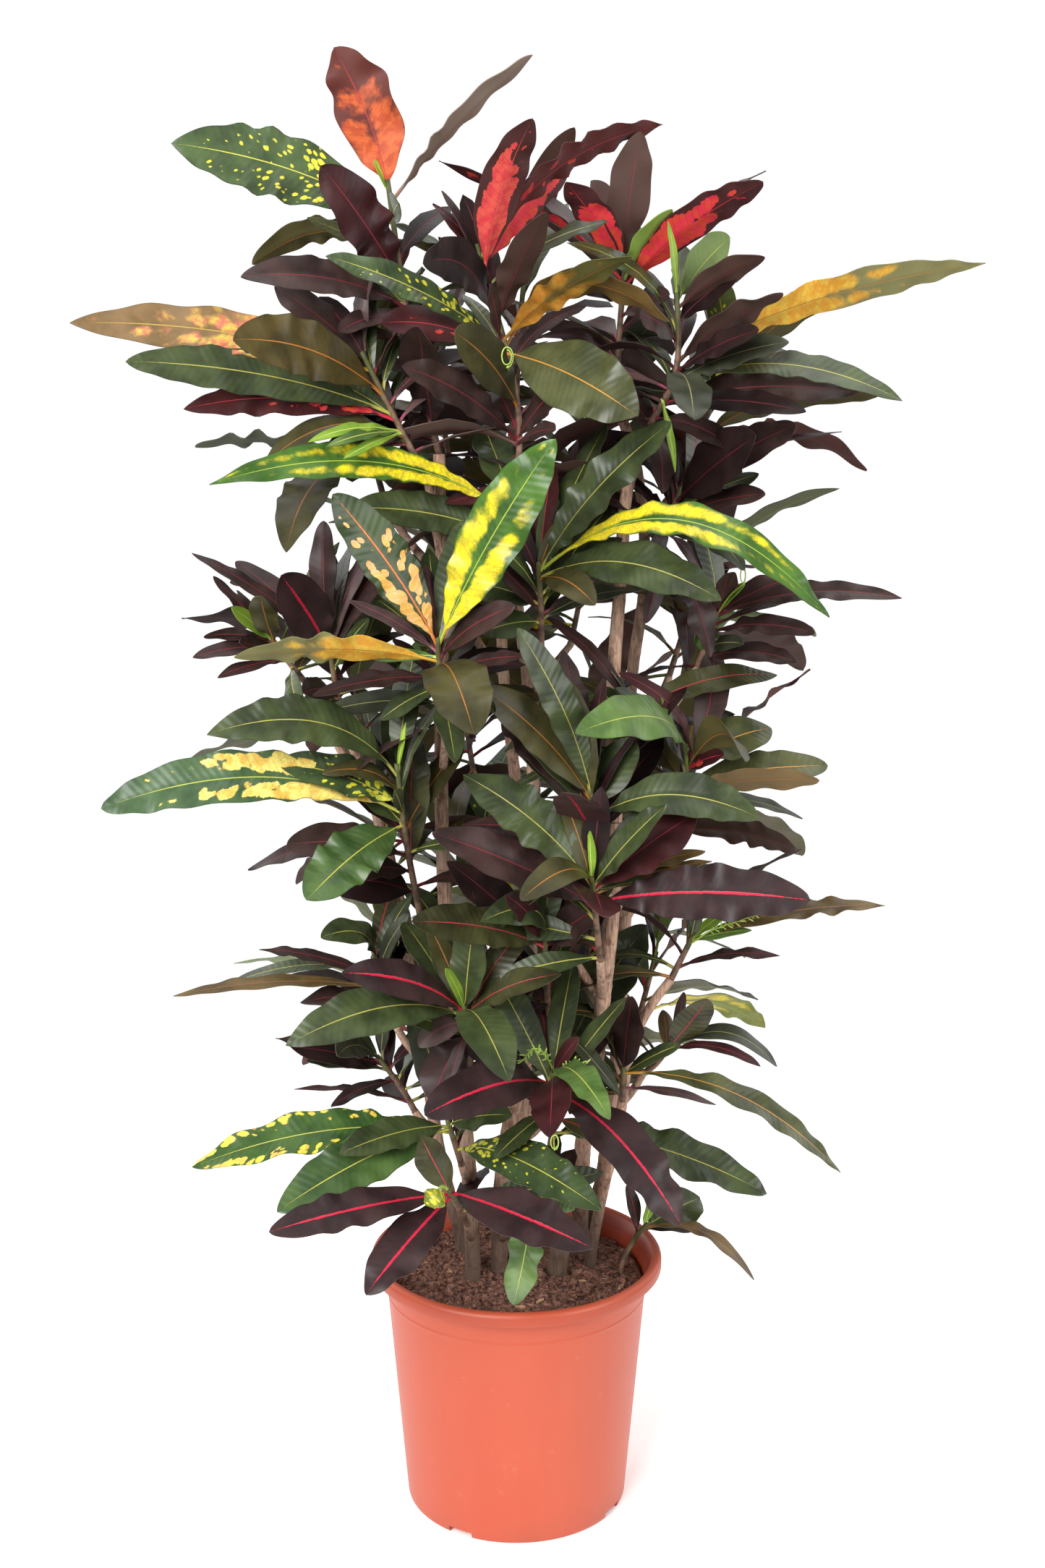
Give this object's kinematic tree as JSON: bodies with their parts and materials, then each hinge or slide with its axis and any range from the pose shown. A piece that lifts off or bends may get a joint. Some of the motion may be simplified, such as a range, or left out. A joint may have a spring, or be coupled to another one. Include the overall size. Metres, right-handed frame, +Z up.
{
  "type": "potted croton",
  "caption": "Potted croton: woody stems in a round plastic nursery pot of peat, with long waved leaves in dark, green, red and yellow.",
  "frame": {"origin": "centre of the pot's flat underside", "axes": "+Z up along the pot's axis, front of the plant towards -Y, +X to the right as seen from the front"},
  "size_m": [0.7621, 0.6721, 1.2992],
  "materials": {
    "pot_plastic": "satin",
    "peat": "matte",
    "bark": "matte",
    "leaf_plum": "satin",
    "leaf_green": "satin"
  },
  "bodies": {
    "root": {"pot": "pot_plastic", "shoot_back_base": "leaf_green", "shoot_back_high_left": "leaf_green", "shoot_back_high_right": "leaf_plum", "shoot_back_low_left": "leaf_green", "shoot_back_low_right": "leaf_plum", "shoot_back_mid_left": "leaf_plum", "shoot_back_mid_right": "leaf_green", "shoot_back_top": "leaf_plum", "shoot_back_upper_left": "leaf_green", "shoot_back_upper_right": "leaf_plum", "shoot_base_centre": "leaf_green", "shoot_base_front": "leaf_plum", "shoot_base_left": "leaf_green", "shoot_behind_fan": "leaf_plum", "shoot_cut_branch": "leaf_plum", "shoot_fan_right": "leaf_plum", "shoot_left": "leaf_plum", "shoot_left_dark": "leaf_plum", "shoot_left_low": "leaf_green", "shoot_left_small": "leaf_plum", "shoot_left_tip": "leaf_plum", "shoot_low_back": "leaf_green", "shoot_low_centre": "leaf_green", "shoot_low_front": "leaf_plum", "shoot_low_left": "leaf_green", "shoot_low_node": "leaf_plum", "shoot_low_right": "leaf_green", "shoot_mid": "leaf_green", "shoot_mid_front": "leaf_green", "shoot_mid_left": "leaf_green", "shoot_right": "leaf_plum", "shoot_right_low": "leaf_plum", "shoot_right_top": "leaf_plum", "shoot_right_twig": "leaf_plum", "shoot_seedling": "leaf_green", "shoot_side_high_left": "leaf_plum", "shoot_side_high_right": "leaf_green", "shoot_side_low_left": "leaf_plum", "shoot_side_low_right": "leaf_green", "shoot_side_mid_left": "leaf_green", "shoot_side_mid_right": "leaf_plum", "shoot_side_upper_left": "leaf_plum", "shoot_side_upper_right": "leaf_green", "shoot_top": "leaf_plum", "shoot_top_left": "leaf_plum", "shoot_top_right": "leaf_plum", "shoot_yellow": "leaf_green", "soil": "peat", "stump": "bark", "trunk_1": "bark", "trunk_2": "bark", "trunk_3": "bark", "trunk_4": "bark", "trunk_5": "bark", "trunk_6": "bark", "trunk_7": "bark"}
  },
  "joints": []
}
